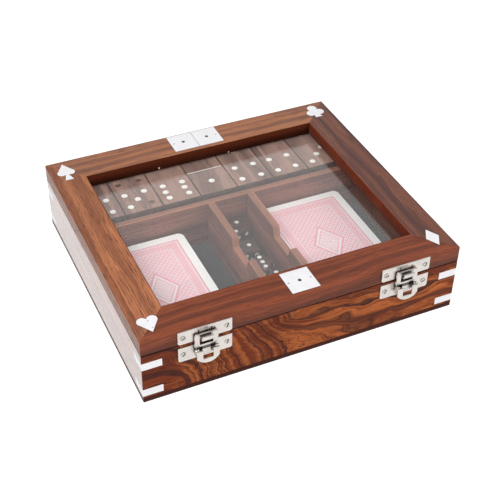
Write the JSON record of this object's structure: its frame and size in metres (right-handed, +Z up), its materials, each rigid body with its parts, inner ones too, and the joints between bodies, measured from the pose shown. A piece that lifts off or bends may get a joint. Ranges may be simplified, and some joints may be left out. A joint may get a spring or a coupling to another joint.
{
  "type": "games compendium box",
  "caption": "Shallow hinged hardwood box with a glazed lid and front toggle latches, divided inside for dominoes, playing cards and dice.",
  "frame": {"origin": "centre of the whole box's footprint, latches and hinges included, on the surface it stands on", "axes": "+X to the right as seen from the front, +Y from the latches towards the hinges, +Z up"},
  "size_m": [0.19, 0.177, 0.0443],
  "materials": {
    "case_wood": "satin lacquered rosewood with strong figure",
    "lid_wood": "satin lacquered rosewood",
    "divider_wood": "plain sanded rosewood",
    "felt": "short dark felt",
    "glass": "clear polished",
    "inlay_metal": "polished flush with the wood",
    "hinge_metal": "nickel plated",
    "latch_metal": "nickel plated pressed steel",
    "cards": "coated card, printed back",
    "domino_wood": "satin rosewood with white pips",
    "dice_wood": "satin rosewood with white pips"
  },
  "bodies": {
    "case": {"bottom_panel": "case_wood", "front_wall": "case_wood", "back_wall": "case_wood", "left_wall": "case_wood", "right_wall": "case_wood", "domino_felt": "felt", "left_card_felt": "felt", "dice_felt": "felt", "right_card_felt": "felt", "long_divider": "divider_wood", "left_divider": "divider_wood", "right_divider": "divider_wood", "front_left_strips": "inlay_metal", "front_right_strips": "inlay_metal", "back_left_strips": "inlay_metal", "back_right_strips": "inlay_metal", "left_hinge_box_leaf": "hinge_metal", "right_hinge_box_leaf": "hinge_metal", "hinge_pins": "hinge_metal", "hinge_box_screws": "hinge_metal", "left_latch_base": "latch_metal", "right_latch_base": "latch_metal", "left_latch_rivets": "latch_metal", "right_latch_rivets": "latch_metal", "latch_base_screws": "latch_metal", "left_card_pack": "cards", "right_card_pack": "cards", "dominoes_layer_1": "domino_wood", "dominoes_layer_2": "domino_wood", "dominoes_layer_3": "domino_wood", "dominoes_layer_4": "domino_wood", "dice_one": "dice_wood", "dice_two": "dice_wood", "dice_three": "dice_wood", "dice_four": "dice_wood", "dice_five": "dice_wood"},
    "lid": {"lid_front_rail": "lid_wood", "lid_back_rail": "lid_wood", "lid_left_rail": "lid_wood", "lid_right_rail": "lid_wood", "glass_pane": "glass", "spade_inlay": "inlay_metal", "club_inlay": "inlay_metal", "heart_inlay": "inlay_metal", "diamond_inlay": "inlay_metal", "domino_inlay": "inlay_metal", "die_inlay": "inlay_metal", "inlay_pins": "inlay_metal", "left_hinge_lid_leaf": "hinge_metal", "right_hinge_lid_leaf": "hinge_metal", "hinge_lid_screws": "hinge_metal", "left_latch_hook": "latch_metal", "right_latch_hook": "latch_metal", "latch_hook_screws": "latch_metal"},
    "left_lever": {"left_latch_lever": "latch_metal", "left_latch_loop_pin": "latch_metal"},
    "left_loop": {"left_latch_loop": "latch_metal"},
    "right_lever": {"right_latch_lever": "latch_metal", "right_latch_loop_pin": "latch_metal"},
    "right_loop": {"right_latch_loop": "latch_metal"}
  },
  "joints": [
    {"name": "lid_hinge", "type": "hinge", "parent": "case", "child": "lid", "pos_m": [0, 0.0868, 0.03445], "axis": [-1, 0, 0], "range_deg": [0, 188]},
    {"name": "left_lever_pivot", "type": "hinge", "parent": "case", "child": "left_lever", "pos_m": [-0.0598, -0.086, 0.0295], "axis": [-1, 0, 0], "range_deg": [0, 100]},
    {"name": "left_loop_pivot", "type": "hinge", "parent": "left_lever", "child": "left_loop", "pos_m": [-0.0598, -0.0851, 0.0268], "axis": [1, 0, 0], "range_deg": [0, 86]},
    {"name": "right_lever_pivot", "type": "hinge", "parent": "case", "child": "right_lever", "pos_m": [0.0598, -0.086, 0.0302], "axis": [-1, 0, 0], "range_deg": [0, 100]},
    {"name": "right_loop_pivot", "type": "hinge", "parent": "right_lever", "child": "right_loop", "pos_m": [0.0598, -0.0851, 0.0275], "axis": [1, 0, 0], "range_deg": [0, 86]}
  ],
  "couplings": [
    {"joint": "left_loop_pivot", "follows": "left_lever_pivot", "ratio": 0.86},
    {"joint": "right_loop_pivot", "follows": "right_lever_pivot", "ratio": 0.86}
  ]
}
